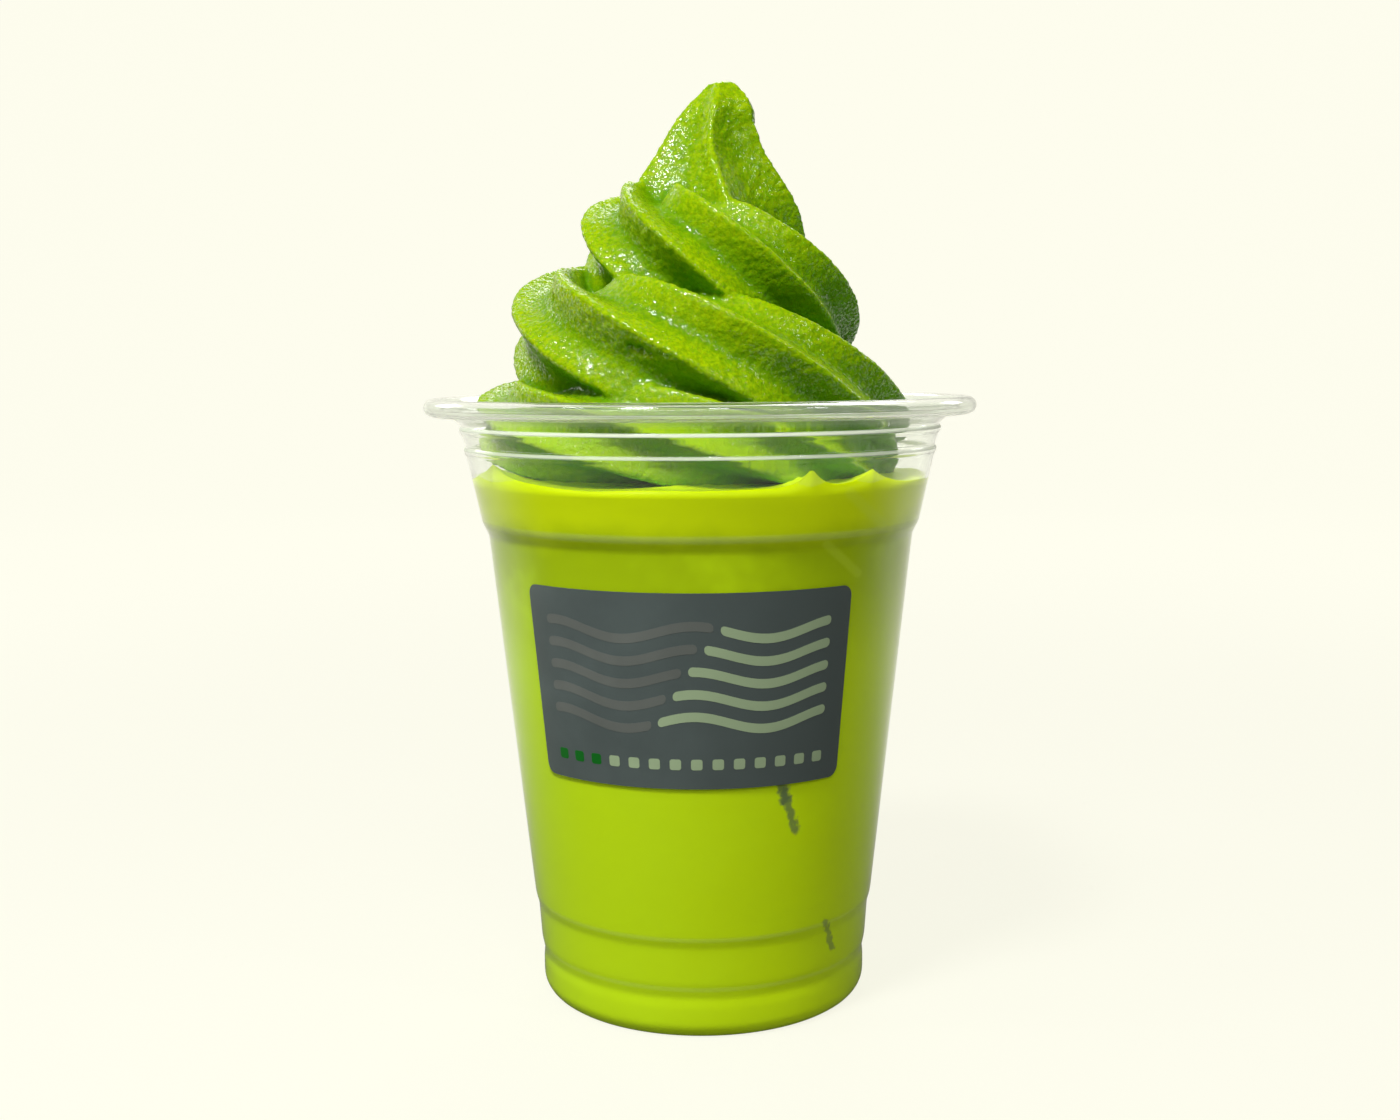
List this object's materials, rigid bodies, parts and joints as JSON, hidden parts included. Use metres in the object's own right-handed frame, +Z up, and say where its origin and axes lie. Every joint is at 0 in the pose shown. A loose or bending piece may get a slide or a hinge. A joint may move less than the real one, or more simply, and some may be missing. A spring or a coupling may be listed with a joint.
{
  "type": "ice cream float",
  "caption": "Green tea float: a tall coil of ridged soft serve standing in an iced green drink, in a clear plastic cup with a rolled rim and a printed panel.",
  "frame": {"origin": "centre of the cup's flat foot, on the surface that it stands on", "axes": "+Z up along the cup's axis, -Y towards the printed front, +X to the viewer's right"},
  "size_m": [0.098, 0.098, 0.1632],
  "materials": {
    "clear_plastic": "clear, glossy",
    "green_drink": "opaque, wet",
    "green_soft_serve": "soft sheen, fine grain"
  },
  "bodies": {
    "root": {"cup": "clear_plastic", "drink": "green_drink", "soft_serve": "green_soft_serve"}
  },
  "joints": []
}
